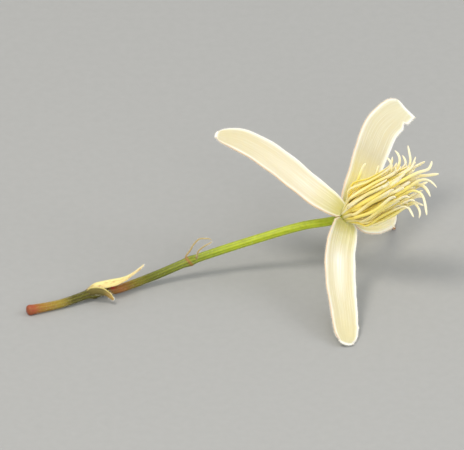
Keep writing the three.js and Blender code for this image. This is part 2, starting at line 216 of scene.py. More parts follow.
def petalTissue(name, look):
    # living sepal tissue: soft and matt, with a little light shining through, faint lengthwise veins and a
    # velvety white margin that is tan on one side
    material, tree, surface = newMaterial(name)
    along = addNode(tree, "Attribute", attribute_name="along")
    across = addNode(tree, "Attribute", attribute_name="across")
    rim = addNode(tree, "Attribute", attribute_name="rim")
    body = addNode(tree, "ValToRGB", {"Fac": along.outputs["Fac"]}, stops=[
        (0.0, look["foot"]), (look["clawEnd"], look["claw"]), (look["middleStart"], look["middle"]),
        (1.0, look["tip"])])
    stretch = addNode(tree, "CombineXYZ", {"X": across.outputs["Fac"], "Y": along.outputs["Fac"]})
    veins = addNode(tree, "Mapping", {
        "Vector": stretch.outputs["Vector"], "Scale": (look["veinsAcross"], look["veinsAlong"], 1.0)})
    streak = addNode(tree, "TexNoise", {
        "Vector": veins.outputs["Vector"], "Scale": 1.0, "Detail": 3.0, "Roughness": 0.6})
    streakShare = addNode(tree, "MapRange", {
        "Value": streak.outputs["Fac"], "From Min": 0.4, "From Max": 0.7, "To Max": look["veinShare"]})
    veinTone = addNode(tree, "ValToRGB", {"Fac": along.outputs["Fac"]}, stops=[
        (0.0, look["veinFoot"]), (0.2, look["vein"])])
    # painted sheen: paler strips between the veins
    sheenStrips = addNode(tree, "MapRange", {
        "Value": streak.outputs["Fac"], "From Min": 0.48, "From Max": 0.34, "To Max": look["sheenStripShare"]})
    # painted highlight: the middle is paler, strongest a quarter of the way up
    fromMiddle = addNode(tree, "Math", {0: across.outputs["Fac"]}, operation="ABSOLUTE")
    highlightAcross = addNode(tree, "MapRange", {
        "Value": fromMiddle.outputs["Value"], "From Min": 0.55, "From Max": 0.05,
        "To Max": look["paintedHighlightShare"],
    }, interpolation_type="SMOOTHSTEP")
    reach = addNode(tree, "ValToRGB", {"Fac": along.outputs["Fac"]}, stops=[
        (0.12, "#000000"), (0.27, "#FFFFFF"), (0.42, "#D0D0D0"), (0.62, "#404040"), (0.85, "#000000")])
    paintedHighlightShare = addNode(tree, "Math", {
        0: highlightAcross.outputs["Result"], 1: reach.outputs["Color"],
    }, operation="MULTIPLY")
    # the white margin, and the tan on one side of it
    edge = addNode(tree, "MapRange", {
        "Value": rim.outputs["Fac"], "From Min": look["marginFrom"], "To Max": look["marginShare"],
    }, interpolation_type="SMOOTHSTEP")
    side = addNode(tree, "Math", {0: across.outputs["Fac"], 1: look["tanSide"]}, operation="MULTIPLY")
    tanned = addNode(tree, "MapRange", {
        "Value": side.outputs["Value"], "From Min": look["tanFrom"], "From Max": look["tanFull"],
        "To Max": look["tanShare"]})
    layers = [
        (paintedHighlightShare.outputs["Value"], linear(look["pale"])),
        (streakShare.outputs["Result"], veinTone.outputs["Color"]),
        (sheenStrips.outputs["Result"], linear(look["pale"])),
        (edge.outputs["Result"], linear(look["margin"])),
        (tanned.outputs["Result"], linear(look["tan"]))]
    if "speckAt" in look:
        # a withered speck on the margin
        off = addNode(tree, "Math", {0: along.outputs["Fac"], 1: look["speckAt"]}, operation="SUBTRACT")
        near = addNode(tree, "Math", {0: off.outputs["Value"]}, operation="ABSOLUTE")
        nearShare = addNode(tree, "MapRange", {
            "Value": near.outputs["Value"], "From Min": look["speckLength"], "From Max": 0.015})
        outer = addNode(tree, "MapRange", {
            "Value": side.outputs["Value"], "From Min": 0.84, "From Max": 0.93})
        speckShare = addNode(tree, "Math", {
            0: nearShare.outputs["Result"], 1: outer.outputs["Result"],
        }, operation="MULTIPLY")
        layers.append((speckShare.outputs["Value"], linear(look["speck"])))
    colour = body.outputs["Color"]
    for share, over in layers:
        colour = addNode(tree, "Mix", {"Factor": share, 6: colour, 7: over}, data_type="RGBA").outputs[2]
    place = addNode(tree, "TexCoord")
    cells = addNode(tree, "TexNoise", {
        "Vector": place.outputs["Object"], "Scale": 1 / (look["cellSize"] * metre), "Detail": 2.0})
    relief = addNode(tree, "Math", {0: streak.outputs["Fac"], 1: 2.0}, operation="MULTIPLY")
    together = addNode(tree, "Math", {0: relief.outputs["Value"], 1: cells.outputs["Fac"]}, operation="ADD")
    grain = addNode(tree, "Bump", {
        "Height": together.outputs["Value"], "Strength": 0.25, "Distance": 0.03 * metre})
    tree.links.new(colour, surface.inputs["Base Color"])
    tree.links.new(grain.outputs["Normal"], surface.inputs["Normal"])
    surface.inputs["Roughness"].default_value = 0.62
    surface.inputs["IOR"].default_value = 1.42
    surface.inputs["Subsurface Weight"].default_value = 0.35
    surface.inputs["Subsurface Radius"].default_value = (1.0, 0.8, 0.45)
    surface.inputs["Subsurface Scale"].default_value = 0.6 * metre
    surface.inputs["Sheen Weight"].default_value = 0.25
    surface.inputs["Sheen Roughness"].default_value = 0.5
    return material


filamentLook = {
    # foot: the greenish foot of the filaments, made darker olive as painted shade in the grooves at the
    # base of the brush
    "foot": "#BEB85E", "middle": "#FFE56E", "upper": "#FFEE84", "tip": "#FFF6D2", "streak": "#FFFAD8",
    "cellsPerMm": 9.0}  # about three times as wide as real cells, so that they show


def filamentTissue(name, look):
    # living filaments: smooth and satin, a little see-through, each in its own shade and paler at the tip
    material, tree, surface = newMaterial(name)
    along = addNode(tree, "Attribute", attribute_name="along")
    tone = addNode(tree, "Attribute", attribute_name="tone")
    body = addNode(tree, "ValToRGB", {"Fac": along.outputs["Fac"]}, stops=[
        (0.0, look["foot"]), (0.22, look["middle"]), (0.68, look["upper"]), (0.9, look["tip"])])
    shade = addNode(tree, "MapRange", {"Value": tone.outputs["Fac"], "From Min": 0.25, "To Max": 0.7})
    fade = addNode(tree, "MapRange", {"Value": along.outputs["Fac"], "From Min": 0.75, "From Max": 0.35})
    share = addNode(tree, "Math", {
        0: shade.outputs["Result"], 1: fade.outputs["Result"],
    }, operation="MULTIPLY")
    mixed = addNode(tree, "Mix", {
        "Factor": share.outputs["Value"], 6: body.outputs["Color"], 7: linear(look["streak"]),
    }, data_type="RGBA")
    place = addNode(tree, "TexCoord")
    grain = addNode(tree, "TexNoise", {
        "Vector": place.outputs["Object"], "Scale": look["cellsPerMm"] / metre, "Detail": 2.0})
    bumps = addNode(tree, "Bump", {
        "Height": grain.outputs["Fac"], "Strength": 0.2, "Distance": 0.02 * metre})
    tree.links.new(mixed.outputs[2], surface.inputs["Base Color"])
    tree.links.new(bumps.outputs["Normal"], surface.inputs["Normal"])
    surface.inputs["Roughness"].default_value = 0.45
    surface.inputs["IOR"].default_value = 1.42
    surface.inputs["Subsurface Weight"].default_value = 0.2
    surface.inputs["Subsurface Radius"].default_value = (1.0, 0.8, 0.3)
    surface.inputs["Subsurface Scale"].default_value = 0.8 * metre
    return material


stalkLook = {
    # along the stalk from its foot: the dark olive at 0.14 to 0.25 is a painted shadow, and the lightening
    # from 0.88 to the neck is partly painted light
    "stops": [
        (0.0, "#9E5034"), (0.02, "#A04E34"), (0.045, "#9C6A2A"), (0.1, "#957E2E"), (0.14, "#443B0A"),
        (0.25, "#4A430C"), (0.345, "#756A18"), (0.39, "#565B0C"), (0.47, "#626D16"), (0.52, "#6E7A20"),
        (0.58, "#889C18"), (0.66, "#9DB012"), (0.88, "#AEC11E"), (0.95, "#BED028"), (1.0, "#BECB40")],
    # ridge: the colour of the painted highlight on the ribs
    "ridge": "#D6E04E", "joint": "#A8643C", "red": "#B0303C",
    "mottle": "#5A5A14", "mottleShare": 0.3, "mottlePerMm": 1.8,  # patches of about 0.5 mm
}


def stalkSkin(name, look):
    # living stalk skin: finely ribbed and satin, green near the flower, olive and then red towards the
    # foot; the darkest olive, near the bracts, is a painted shadow, the lighter neck is partly painted
    # light, and the lighter ribs are a painted highlight
    material, tree, surface = newMaterial(name)
    along = addNode(tree, "Attribute", attribute_name="along")
    ridge = addNode(tree, "Attribute", attribute_name="ridge")
    joint = addNode(tree, "Attribute", attribute_name="joint")
    spot = addNode(tree, "Attribute", attribute_name="spot")
    body = addNode(tree, "ValToRGB", {"Fac": along.outputs["Fac"]}, stops=look["stops"])
    # a painted highlight on the ribs, stronger towards the flower
    ribHighlightReach = addNode(tree, "MapRange", {
        "Value": along.outputs["Fac"], "From Min": 0.4, "From Max": 0.68, "To Min": 0.12, "To Max": 0.5})
    ribHighlightShare = addNode(tree, "Math", {
        0: ridge.outputs["Fac"], 1: ribHighlightReach.outputs["Result"],
    }, operation="MULTIPLY")
    place = addNode(tree, "TexCoord")
    mottle = addNode(tree, "TexNoise", {
        "Vector": place.outputs["Object"], "Scale": look["mottlePerMm"] / metre, "Detail": 3.0})
    mottleShare = addNode(tree, "MapRange", {
        "Value": mottle.outputs["Fac"], "From Min": 0.4, "From Max": 0.8, "To Max": look["mottleShare"]})
    colour = body.outputs["Color"]
    for share, over in (
            (ribHighlightShare.outputs["Value"], "ridge"), (joint.outputs["Fac"], "joint"),
            (spot.outputs["Fac"], "red"), (mottleShare.outputs["Result"], "mottle")):
        mixed = addNode(tree, "Mix", {"Factor": share, 6: colour, 7: linear(look[over])}, data_type="RGBA")
        colour = mixed.outputs[2]
    bumps = addNode(tree, "Bump", {
        "Height": mottle.outputs["Fac"], "Strength": 0.3, "Distance": 0.03 * metre})
    tree.links.new(colour, surface.inputs["Base Color"])
    tree.links.new(bumps.outputs["Normal"], surface.inputs["Normal"])
    surface.inputs["Roughness"].default_value = 0.42
    surface.inputs["IOR"].default_value = 1.38
    surface.inputs["Subsurface Weight"].default_value = 0.15
    surface.inputs["Subsurface Radius"].default_value = (0.6, 1.0, 0.3)
    surface.inputs["Subsurface Scale"].default_value = 0.5 * metre
    return material


scaleLook = {
    "vein": "#C9B67C", "veinShare": 0.6, "veinsAcross": 7.0, "veinsAlong": 1.4,
    "mottle": "#B07E4C", "mottleShare": 0.7, "mottleAcross": 2.6, "mottleAlong": 7.0,
    # on the next line, a painted highlight along one edge and a painted shade over the other half
    "edge": "#F6EFCF", "highlightFrom": 0.6, "shadeTint": "#D8A868", "shadeShare": 0.35}


def dryScale(name, look, highlightSide=0):
    # dry papery bract: pale and matt, browner at its foot and in blotches, with a painted highlight along
    # one edge and painted shade on the other half
    material, tree, surface = newMaterial(name)
    along = addNode(tree, "Attribute", attribute_name="along")
    across = addNode(tree, "Attribute", attribute_name="across")
    body = addNode(tree, "ValToRGB", {"Fac": along.outputs["Fac"]}, stops=[
        (0.0, look["brown"]), (0.16, look["pale"]), (0.6, look["pale"]), (1.0, look["tip"])])
    stretch = addNode(tree, "CombineXYZ", {"X": across.outputs["Fac"], "Y": along.outputs["Fac"]})
    veins = addNode(tree, "Mapping", {
        "Vector": stretch.outputs["Vector"], "Scale": (look["veinsAcross"], look["veinsAlong"], 1.0)})
    streak = addNode(tree, "TexNoise", {"Vector": veins.outputs["Vector"], "Scale": 1.0, "Detail": 3.0})
    veined = addNode(tree, "MapRange", {
        "Value": streak.outputs["Fac"], "From Min": 0.45, "From Max": 0.7, "To Max": look["veinShare"]})
    # brown blotches, where it has dried
    blotches = addNode(tree, "Mapping", {
        "Vector": stretch.outputs["Vector"], "Scale": (look["mottleAcross"], look["mottleAlong"], 1.0)})
    patch = addNode(tree, "TexNoise", {
        "Vector": blotches.outputs["Vector"], "Scale": 1.0, "Detail": 4.0, "Roughness": 0.65})
    mottled = addNode(tree, "MapRange", {
        "Value": patch.outputs["Fac"], "From Min": 0.5, "From Max": 0.66, "To Max": look["mottleShare"]})
    layers = [(veined.outputs["Result"], "vein"), (mottled.outputs["Result"], "mottle")]
    if highlightSide:
        # painted highlight: one edge is lighter; painted shade: the other half is darker and browner
        side = addNode(tree, "Math", {0: across.outputs["Fac"], 1: highlightSide}, operation="MULTIPLY")
        highlightEdge = addNode(tree, "MapRange", {
            "Value": side.outputs["Value"], "From Min": look["highlightFrom"], "From Max": 0.95})
        shadedHalf = addNode(tree, "MapRange", {
            "Value": side.outputs["Value"], "From Min": 0.0, "From Max": -0.9,
            "To Max": look["shadeShare"]})
        layers += [(highlightEdge.outputs["Result"], "edge"), (shadedHalf.outputs["Result"], "shadeTint")]
    colour = body.outputs["Color"]
    for share, over in layers:
        mixed = addNode(tree, "Mix", {"Factor": share, 6: colour, 7: linear(look[over])}, data_type="RGBA")
        colour = mixed.outputs[2]
    bumps = addNode(tree, "Bump", {
        "Height": streak.outputs["Fac"], "Strength": 0.6, "Distance": 0.06 * metre})
    tree.links.new(colour, surface.inputs["Base Color"])
    tree.links.new(bumps.outputs["Normal"], surface.inputs["Normal"])
    surface.inputs["Roughness"].default_value = 0.7
    surface.inputs["Subsurface Weight"].default_value = 0.2
    surface.inputs["Subsurface Radius"].default_value = (1.0, 0.7, 0.4)
    surface.inputs["Subsurface Scale"].default_value = 0.4 * metre
    return material


downLook = {"white": "#FBFAF4", "cream": "#E9DFC0", "creamShare": 0.35, "patchesPerMm": 1.5}


def silkyDown(name, look):
    # short plant hairs: white and dry, with a soft sheen that catches the light
    material, tree, surface = newMaterial(name)
    place = addNode(tree, "TexCoord")
    patches = addNode(tree, "TexNoise", {
        "Vector": place.outputs["Object"], "Scale": look["patchesPerMm"] / metre})
    tint = addNode(tree, "MapRange", {
        "Value": patches.outputs["Fac"], "From Min": 0.3, "From Max": 0.8, "To Max": look["creamShare"]})
    mixed = addNode(tree, "Mix", {
        "Factor": tint.outputs["Result"], 6: linear(look["white"]), 7: linear(look["cream"]),
    }, data_type="RGBA")
    tree.links.new(mixed.outputs[2], surface.inputs["Base Color"])
    surface.inputs["Roughness"].default_value = 0.55
    surface.inputs["Sheen Weight"].default_value = 0.4
    return material


tableLook = {"dark": "#A2A4A5", "light": "#A9ABAC", "grainPerMm": 0.9, "halfSize": 1.5}


def paleTable(name, look):
    # matt painted board: plain and without shine, its grain drawn about 1 mm wide so that it shows
    material, tree, surface = newMaterial(name)
    place = addNode(tree, "TexCoord")
    grain = addNode(tree, "TexNoise", {
        "Vector": place.outputs["Object"], "Scale": look["grainPerMm"] / metre, "Detail": 4.0})
    tint = addNode(tree, "Mix", {
        "Factor": grain.outputs["Fac"], 6: linear(look["dark"]), 7: linear(look["light"]),
    }, data_type="RGBA")
    bumps = addNode(tree, "Bump", {
        "Height": grain.outputs["Fac"], "Strength": 0.1, "Distance": 0.05 * metre})
    tree.links.new(tint.outputs[2], surface.inputs["Base Color"])
    tree.links.new(bumps.outputs["Normal"], surface.inputs["Normal"])
    surface.inputs["Roughness"].default_value = 0.8
    return material


# Down: hairs are slim three-sided cones, made a few at a time and then gathered in one mesh

# each is sunk by a share of its length and narrows to a share of its width; one near the table is left out
hairShape = {"sink": 0.08, "tip": 0.1, "offTable": 0.05, "batch": 120}


def downMesh(hairs):
    low, batch, middle = hairShape["offTable"], hairShape["batch"], 0.5 - hairShape["sink"]
    gathered = bmesh.new()
    hairs = [hair for hair in hairs if (hair[0] + hair[1] * hair[2]).z > low and hair[0].z > low]
    for start in range(0, len(hairs), batch):
        few = bmesh.new()
        for root, way, length, width in hairs[start:start + batch]:
            turn = way.to_track_quat("Z", "Y").to_matrix().to_4x4()
            bmesh.ops.create_cone(
                few, cap_ends=True, segments=3, radius1=width / 2, radius2=hairShape["tip"] * width,
                depth=length, matrix=Matrix.Translation(root + way * middle * length) @ turn)
        mesh = bpy.data.meshes.new("fewHairs")
        few.to_mesh(mesh)
        few.free()
        gathered.from_mesh(mesh)
        bpy.data.meshes.remove(mesh)
    return gathered


# Blades: sepals and bracts

def between(stops, t):
    # a value read smoothly off a line of stops
    for (t0, v0), (t1, v1) in zip(stops, stops[1:]):
        if t <= t1:
            w = max(0.0, (t - t0) / (t1 - t0))
            return v0 + (v1 - v0) * w * w * (3 - 2 * w)
    return stops[-1][1]


clawLength = 0.09  # share of the blade in which it widens from its foot


def halfWidth(shape, t):
    if "halves" in shape:
        return between(shape["halves"], t)
    claw = 1 - (1 - shape["claw"]) * math.exp(-t / clawLength)
    taper = 1 - shape["taper"] * t * t
    rounding = math.sqrt(max(0.0, 1 - min(t, 1.0) ** shape["blunt"]))
    return max(shape["width"] / 2 * claw * taper * rounding, shape["tip"] / 2 * t)


def bladeStations(shape, rows):
    # rows along the blade, the first of them inside the stalk's head, where t is below 0
    line = Line([seen(p) for p in shape["line"]])
    looks = Line([turned(p) for p in shape["looks"]])
    whole = line.lengths[-1]
    root = shape["root"] / whole
    stations = []
    for i in range(rows + 1):
        t = -root + (1 + root) * math.sin(i / rows * math.pi / 2)
        _, along, _, _ = line.at(max(t, 0), Vector((1, 0, 0)))
        centre, along, across, out = line.at(max(t, 0), along.cross(looks.point(t)))
        under = min(t, 0) / root
        half = halfWidth(shape, max(t, 0)) * (1 - 0.4 * under * under)  # it narrows inside the head
        stations.append((t, centre + along * (min(t, 0) * whole), along, across, out, half))
    return stations


# places and spreads are shares of the half width across the blade and of the length along it, and rates are
# in radians over the length
bladeEdge = {
    "veinSpread": 0.035, "beadAt": 0.93, "beadSpread": 0.05, "rounding": 30,
    "thinFrom": 0.9, "thinShare": 0.5, "tipRim": 0.1, "waveRate": 9, "frillRate": 31}


def bladePoint(shape, station, s, face):
    # the place on a blade: s from -1 to 1 across it, face 1 within the flower and -1 on its back
    t, centre, along, across, out, half = station
    if "ends" in shape and t > shape["ends"][s > 0][0][0]:
        half = between(shape["ends"][s > 0], t)
    half += sum(reach * bump(t, at, spread) for side, at, spread, reach in shape["nicks"] if side * s > 0)
    rise = shape["cup"] * half * s * s + shape["wave"] * math.sin(bladeEdge["waveRate"] * t + 2 * s) * s * s
    rise += shape["frill"] * math.sin(bladeEdge["frillRate"] * t + 1.3 * s) * s ** 4
    vein = sum(bump(s, at, bladeEdge["veinSpread"]) for at in shape["veins"]) * (1 - 0.6 * t)
    bead = shape["bead"] * bump(abs(s), bladeEdge["beadAt"], bladeEdge["beadSpread"])
    thick = (shape["thick"] / 2 + bead) * math.sqrt(max(0.0, 1 - abs(s) ** bladeEdge["rounding"]))
    thick *= 1 - bladeEdge["thinShare"] * max(0.0, t - bladeEdge["thinFrom"]) / (1 - bladeEdge["thinFrom"])
    lift = face * thick + (1 if face < 0 else -0.6) * shape["relief"] * vein  # veins stand out on the back
    pull = shape["corners"][s >= 0] * s ** 4 * max(t, 0) ** 24
    middle = centre + across * (half * s) + out * rise + along * pull
    middle.z = max(middle.z, shape["thick"] / 2)  # it lies on the table where it comes down to it
    return middle + out * lift


def bladeMesh(shape):
    # a grid bent to the blade's front, with its back drawn out from it
    columns, rows = shape["columns"], shape["rows"]
    stations = bladeStations(shape, rows)
    bm = bmesh.new()
    acrossLayer = bm.verts.layers.float.new("across")
    alongLayer = bm.verts.layers.float.new("along")
    rimLayer = bm.verts.layers.float.new("rim")
    faceLayer = bm.verts.layers.float.new("face")
    bmesh.ops.create_grid(bm, x_segments=columns, y_segments=rows, size=1)
    for v in bm.verts:
        v[faceLayer] = 1.0
        v[acrossLayer] = v.co.x
        v[alongLayer] = (v.co.y + 1) / 2
    for v in bmesh.ops.extrude_face_region(bm, geom=bm.faces[:])["geom"]:
        if isinstance(v, bmesh.types.BMVert):
            v[faceLayer] = -1.0
    for v in bm.verts:
        s = math.sin(v[acrossLayer] * math.pi / 2)
        station = stations[round(v[alongLayer] * rows)]
        v[acrossLayer] = s
        v[alongLayer] = station[0]
        v[rimLayer] = max(abs(s), 1 - (1 - station[0]) / bladeEdge["tipRim"])
        v.co = bladePoint(shape, station, s, v[faceLayer])
    bmesh.ops.remove_doubles(bm, verts=bm.verts, dist=1e-5)
    bmesh.ops.recalc_face_normals(bm, faces=bm.faces)
    return bm, stations


def bladeDown(shape, stations, coat, seed):
    # a soft fringe along both margins and the tip, and thin down that lies along the back
    chance = random.Random(seed)
    length, width = coat["length"], coat["width"]
    rows = len(stations) - 1
    whole = Line([station[1] for station in stations[::max(1, rows // 12)]]).lengths[-1]
    hairs = []
    for i in range(int(2 * whole * coat["marginPerMm"])):
        station = stations[min(rows, int(chance.random() ** 0.8 * rows))]
        along, across, out = station[2:5]
        side = 1 if i % 2 else -1
        s = side * (1 - 0.05 * chance.random())
        root = bladePoint(shape, station, s, chance.choice((-0.6, 0.6)))
        way = across * side + out * chance.uniform(-0.9, 0.7) + along * chance.uniform(-0.2, 0.7)
        hairs.append((root, way.normalized(), length * chance.uniform(0.6, 1.2), width))
    along, across, out = stations[rows][2:5]
    for _ in range(int(shape["tip"] * coat["marginPerMm"])):
        root = bladePoint(shape, stations[rows], chance.uniform(-0.9, 0.9), chance.uniform(-0.8, 0.8))
        way = along + out * chance.uniform(-0.7, 0.7) + across * chance.uniform(-0.5, 0.5)
        hairs.append((root, way.normalized(), length * chance.uniform(0.5, 1.0), width))
    for _ in range(int(whole * shape["width"] * coat["backPerMm2"])):
        station = stations[int(chance.random() ** 0.6 * rows)]
        along, across, out = station[2:5]
        root = bladePoint(shape, station, chance.uniform(-0.92, 0.92), -0.95)
        way = -out * 0.6 + along * chance.uniform(0.5, 1.1) + across * chance.uniform(-0.4, 0.4)
        hairs.append((root, way.normalized(), 0.9 * length * chance.uniform(0.6, 1.1), width))
    return hairs


# line and looks: where the middle of the blade runs and the way that its face looks on the way
# nicks: side, share of the length, spread, and how far the margin moves out there
# ends: half widths near the tip, on the left and on the right; corners: how far the tip's corners reach
sepalFinish = {
    "root": 0.8, "corners": (-0.3, -0.3), "nicks": [], "thick": 0.3, "bead": 0.05, "relief": 0.03,
    "frill": 0.05, "veins": (-0.66, -0.34, 0.0, 0.34, 0.66), "columns": 44, "rows": 120}
sepals = {
    "sepal_left": {
        "line": [
            (-0.95, 1.0, 0.5), (-3.8, 2.95, 0.9), (-8.6, 6.85, 1.0), (-13.3, 9.7, 0.9),
            (-17.0, 10.75, 0.8)],
        "looks": [(0.5, 0.45, 0.74), (0.4, 0.5, 0.76), (0.3, 0.5, 0.8)],
        "width": 4.7, "claw": 0.62, "taper": 0.2, "blunt": 9, "tip": 1.0, "cup": 0.16, "wave": 0.1,
        "corners": (-0.1, -0.1), "nicks": [(-1, 0.42, 0.18, 0.32)]},
    "sepal_upper": {
        "line": [
            (0.27, 1.14, -1.05), (1.95, 4.2, -3.55), (3.4, 8.2, -6.4), (5.2, 12.0, -9.2),
            (8.28, 14.36, -11.5)],
        "looks": [(0.66, 0.25, 0.7), (0.42, 0.35, 0.84), (0.2, 0.4, 0.9)],
        "width": 4.8, "claw": 0.45, "taper": 0.0, "blunt": 16, "tip": 2.6, "cup": 0.14, "wave": 0.12,
        "corners": (-0.15, 0.0),
        "ends": (
            [(0.8, 2.37), (0.86, 2.42), (0.91, 2.38), (0.945, 2.22), (0.975, 1.92), (1, 1.5)],
            [(0.86, 2.22), (0.908, 1.62), (0.922, 2.0), (1, 1.74)])},
    "sepal_lower": {
        "line": [
            (-0.08, -1.3, 0.75), (-0.75, -4.6, 2.0), (-0.75, -8.9, 4.2), (-0.23, -13.2, 6.9),
            (0.05, -15.7, 8.3), (0.1, -16.8, 9.6)],
        "looks": [(0.62, 0.36, 0.7), (0.45, 0.42, 0.78), (0.35, 0.5, 0.8)],
        "width": 4.75, "claw": 0.85, "taper": 0.3, "blunt": 14, "tip": 1.9, "cup": 0.2, "wave": 0.1,
        "nicks": [(-1, 0.835, 0.018, 0.12), (-1, 0.6, 0.03, 0.06), (1, 0.72, 0.03, -0.05)]},
    "sepal_under": {
        "line": [
            (1.0, -0.55, -1.1), (3.0, -0.42, -5.6), (4.8, -0.1, -11.0), (5.9, 0.5, -15.4),
            (6.5, 1.6, -18.0)],
        "looks": [(0.84, 0.34, 0.42), (0.88, 0.33, 0.34), (0.8, 0.5, 0.33)],
        "width": 4.5, "claw": 0.4, "taper": 0.2, "blunt": 10, "tip": 1.4, "cup": 0.16, "wave": 0.1,
        "nicks": [(1, 0.745, 0.018, 0.42), (1, 0.4, 0.05, 0.08)]},
}

sepalDown = {"marginPerMm": 34.0, "backPerMm2": 6.0, "length": 0.2, "width": 0.02, "seed": 11}

down = silkyDown("silkyDown", downLook)
for number, (name, shape) in enumerate(sepals.items()):
    shape = {**sepalFinish, **shape}
    bm, stations = bladeMesh(shape)
    petal = petalTissue("petalTissue_" + name, sepalLooks[name])
    piece = makePiece(name + "_blade", bm, petal)
    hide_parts(name)
    hairs = bladeDown(shape, stations, sepalDown, sepalDown["seed"] + number)
    makePiece(name + "_down", downMesh(hairs), down, smooth=False)
print("sepals made")


# Tubes: the stalk, filaments, styles and threads start as a grid that is bent round a line

def addTube(bm, line, sideways, section, sides, steps, crowd=1.0, layers=()):
    # section(t, angle) gives how far out the skin is there as (thick, wide), and layers are filled by name;
    # crowd above 1 sets the rows closer together towards the tip
    made = bmesh.ops.create_grid(bm, x_segments=sides, y_segments=steps, size=1)["verts"]
    stations = []
    for i in range(steps + 1):
        t = 1 - (1 - i / steps) ** crowd
        stations.append((t, *line.at(t, sideways)))
    for v in made:
        angle = (v.co.x + 1) * math.pi
        t, centre, along, across, out = stations[round((v.co.y + 1) / 2 * steps)]
        thick, wide = section(t, angle)
        v.co = centre + out * (thick * math.cos(angle)) - across * (wide * math.sin(angle))
        for name, value in layers:
            v[bm.verts.layers.float[name]] = value(t, angle)
    bmesh.ops.remove_doubles(bm, verts=made, dist=1e-6)
    ends = {e for v in made if v.is_valid for e in v.link_edges if e.is_boundary}
    bmesh.ops.holes_fill(bm, edges=list(ends), sides=sides)


# in a pair, a radius or a place comes first and then how far it spreads along the stalk or round it
stalkShape = {
    "line": [
        (-41.8, -12.4, 3.3), (-37.4, -11.5, 1.95), (-33.0, -10.05, 0.3), (-30.0, -9.6, -0.7),
        (-25.2, -7.9, -2.3), (-20.4, -5.9, -3.0), (-12.9, -3.4, -3.3), (-5.5, -1.25, -2.4),
        (-1.7, -0.6, -1.35), (0, 0, 0)],
    "bractAt": (-33.0, -10.05, 0.3), "bracteoleAt": (-20.4, -5.9, -3.0),
    "radius": 0.58, "foot": (0.7, 2.2), "bractNode": (0.82, 0.9), "bracteoleNode": (0.7, 0.6),
    "neck": (0.93, 0.9), "knob": 0.4, "knobEnd": 0.45,
    "ridges": 8, "ridgeHeight": 0.035, "ridgeTwist": 2.5, "footCalm": 1.5, "neckCalm": 1.2,
    "scarHeight": 0.05, "scarWidth": 0.12, "scarSlant": 0.25, "footRing": (0.5, 0.2),
    "scarTint": 0.8, "scarTintWidth": 0.2, "blushTint": 0.7, "blush": (3.5, 1.5),
    "spot": (2.55, 0.34), "spotAngle": (math.radians(164), 0.6), "sides": 48, "steps": 420,
}
receptacle = {
    "under": [(0, -0.9), (0.5, -0.88), (0.76, -0.7), (0.9, -0.4)], "seatRadius": 1.0, "seatHalf": 0.14,
    "domeRadius": 0.95, "domeHeight": 1.1, "sides": 48}


def nearestLength(line, place, steps=400):
    # how far along the line it comes nearest to a place
    distances = [(line.point(line.share(i / steps)) - place).length for i in range(steps + 1)]
    return distances.index(min(distances)) / steps * line.lengths[-1]


def addLathed(bm, outline, sides, values=()):
    # a turned shape round the flower's axis, from points that give its distance out and along
    axis = flowerPlace["flowerAxis"]
    verts = [bm.verts.new(beside(axis, along, out, 0.0)) for out, along in outline]
    edges = [bm.edges.new(pair) for pair in zip(verts, verts[1:])]
    for name, value in values:
        for v in verts:
            v[bm.verts.layers.float[name]] = value
    bmesh.ops.spin(
        bm, geom=verts + edges, cent=flowerPlace["heart"], axis=turned(axis), angle=2 * math.pi,
        steps=sides, use_merge=True, use_duplicate=False)


stalkLine = Line([seen(p) for p in stalkShape["line"]])
stalkLength = stalkLine.lengths[-1]
bractNode = nearestLength(stalkLine, seen(stalkShape["bractAt"]))
bracteoleNode = nearestLength(stalkLine, seen(stalkShape["bracteoleAt"]))
swellings = [  # how far along the stalk, its radius there and how far that spreads
    (0, *stalkShape["foot"]), (bractNode, *stalkShape["bractNode"]),
    (bracteoleNode, *stalkShape["bracteoleNode"]), (stalkLength, *stalkShape["neck"])]


def stalkRadius(t):
    plain = stalkShape["radius"]
    at = t * stalkLength
    return plain + sum((radius - plain) * bump(at, middle, spread) for middle, radius, spread in swellings)


def ridgeAt(t, angle):
    # the ribs fade out at both ends
    at = t * stalkLength
    calm = 1 - bump(at, 0, stalkShape["footCalm"]) - bump(at, stalkLength, stalkShape["neckCalm"])
    turn = stalkShape["ridges"] * angle + stalkShape["ridgeTwist"] * t
    return max(0.0, calm) * (0.5 + 0.5 * math.cos(turn))


def scarPlace(angle):
    # the scar of the bracteoles runs slantwise round the stalk
    return bracteoleNode + stalkShape["scarSlant"] * math.cos(angle)


def stalkSection(t, angle):
    at = t * stalkLength
    radius = stalkRadius(t) - stalkShape["ridgeHeight"] * (1 - ridgeAt(t, angle))
    radius += stalkShape["scarHeight"] * (
        bump(at, scarPlace(angle), stalkShape["scarWidth"]) + bump(at, *stalkShape["footRing"]))
    knob, end = min(1.0, at / stalkShape["knob"]), stalkShape["knobEnd"]
    radius *= end + (1 - end) * math.sqrt(1 - (1 - knob) ** 2)  # the foot is rounded off
    return radius, radius


def jointAt(t, angle):
    # where the skin is reddish: on the scar and above the bracts
    at = t * stalkLength
    above, spread = stalkShape["blush"]
    scar = stalkShape["scarTint"] * bump(at, scarPlace(angle), stalkShape["scarTintWidth"])
    return min(1.0, scar + stalkShape["blushTint"] * bump(at, bractNode + above, spread))


def spotAt(t, angle):
    # a small red spot above the bracts
    above, spread = stalkShape["spot"]
    return bump(t * stalkLength, bractNode + above, spread) * bump(angle, *stalkShape["spotAngle"])


